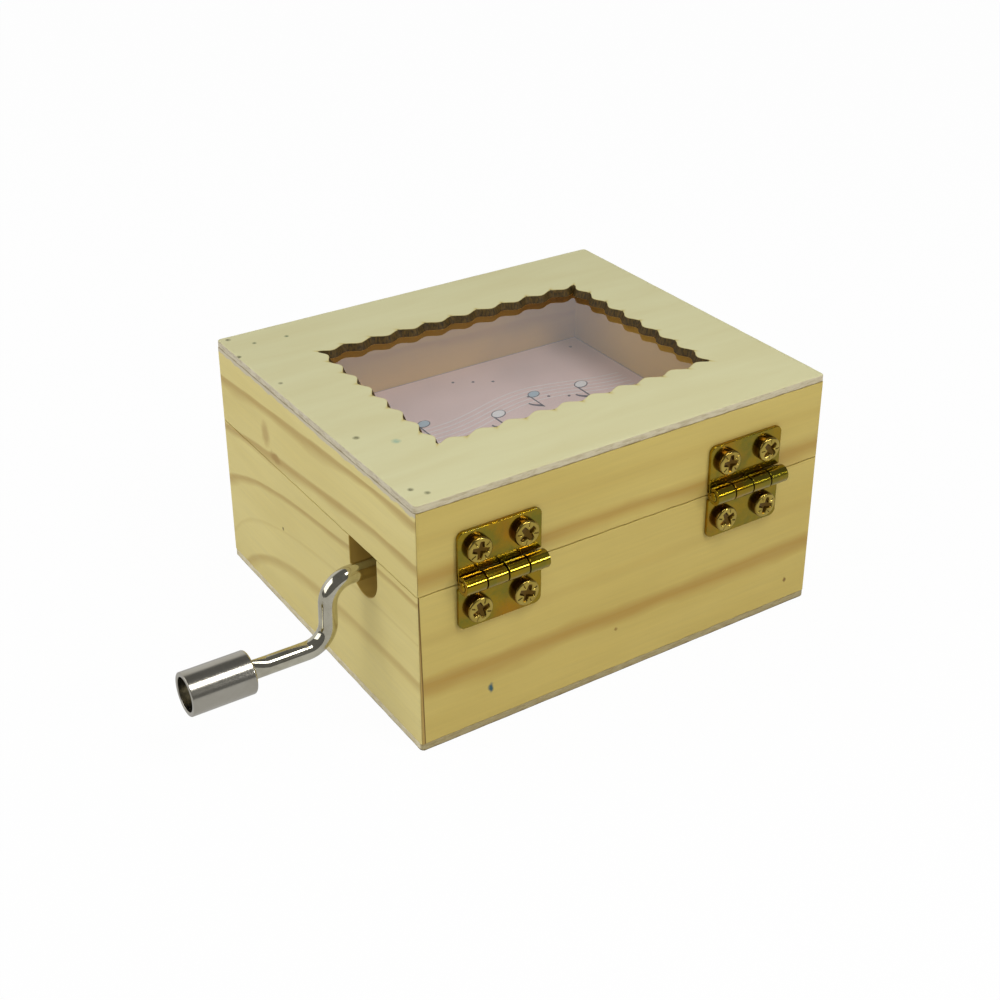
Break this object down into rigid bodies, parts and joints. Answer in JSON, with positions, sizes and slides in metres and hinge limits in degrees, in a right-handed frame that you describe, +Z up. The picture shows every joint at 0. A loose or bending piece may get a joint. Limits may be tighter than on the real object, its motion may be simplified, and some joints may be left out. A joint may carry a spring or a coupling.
{
  "type": "hand-crank music box",
  "caption": "Pine box with a hinged shadow-box lid, a wavy-edged window over a card, and a side crank that turns a comb movement inside.",
  "frame": {"origin": "centre of the underside of the wooden case", "axes": "+Z up, +X towards the crank side, +Y towards the hinges at the back"},
  "size_m": [0.1251, 0.0817, 0.05],
  "materials": {
    "pine": "planed pine, unvarnished",
    "plywood": "sanded pale plywood",
    "clear_pane": "clear acrylic",
    "printed_card": "matt printed card",
    "hinge_brass": "brass-plated sheet, slightly tarnished",
    "screw_brass": "brass-plated pan heads",
    "bright_nickel": "bright nickel plate",
    "satin_nickel": "satin nickel plate",
    "zinc_casting": "bright zinc die casting",
    "spring_steel": "ground spring steel",
    "screw_steel": "zinc-plated pan heads",
    "drum_brass": "bright brass tube",
    "white_nylon": "moulded white nylon"
  },
  "bodies": {
    "base": {"base_bottom_panel": "plywood", "base_front_wall": "pine", "base_crank_wall": "pine", "base_back_wall": "pine", "base_left_wall": "pine", "movement_block": "pine", "movement_bedplate": "zinc_casting", "bedplate_screws": "screw_steel", "comb": "spring_steel", "comb_screws": "screw_steel", "crank_side_hinge_base_leaf": "hinge_brass", "crank_side_hinge_pin": "hinge_brass", "far_hinge_base_leaf": "hinge_brass", "far_hinge_pin": "hinge_brass", "base_hinge_screws": "screw_brass"},
    "lid": {"lid_front_rail": "pine", "lid_crank_rail": "pine", "lid_back_rail": "pine", "lid_left_rail": "pine", "lid_top_panel": "plywood", "window_pane": "clear_pane", "picture_board": "plywood", "picture_card": "printed_card", "crank_side_hinge_lid_leaf": "hinge_brass", "far_hinge_lid_leaf": "hinge_brass", "lid_hinge_screws": "screw_brass"},
    "crank": {"crank_rod": "bright_nickel", "worm": "white_nylon"},
    "knob": {"crank_knob": "satin_nickel"},
    "cylinder": {"cylinder_drum": "drum_brass", "cylinder_pins": "spring_steel", "cylinder_wheel": "white_nylon", "cylinder_end_cap": "white_nylon", "cylinder_arbor": "spring_steel"}
  },
  "joints": [
    {"name": "lid_hinge", "type": "hinge", "parent": "base", "child": "lid", "pos_m": [0, 0.041, 0.033], "axis": [-1, 0, 0], "range_deg": [0, 155]},
    {"name": "crank_spin", "type": "hinge", "parent": "base", "child": "crank", "pos_m": [0.047, 0.0198, 0.0277], "axis": [1, 0, 0], "continuous": true},
    {"name": "knob_spin", "type": "hinge", "parent": "crank", "child": "knob", "pos_m": [0.074, 0.0198, 0.01495], "axis": [1, 0, 0], "continuous": true},
    {"name": "cylinder_spin", "type": "hinge", "parent": "base", "child": "cylinder", "pos_m": [0.014, 0.0078, 0.0187], "axis": [0, 1, 0], "continuous": true}
  ],
  "couplings": [
    {"joint": "cylinder_spin", "follows": "crank_spin", "ratio": -0.038462}
  ]
}
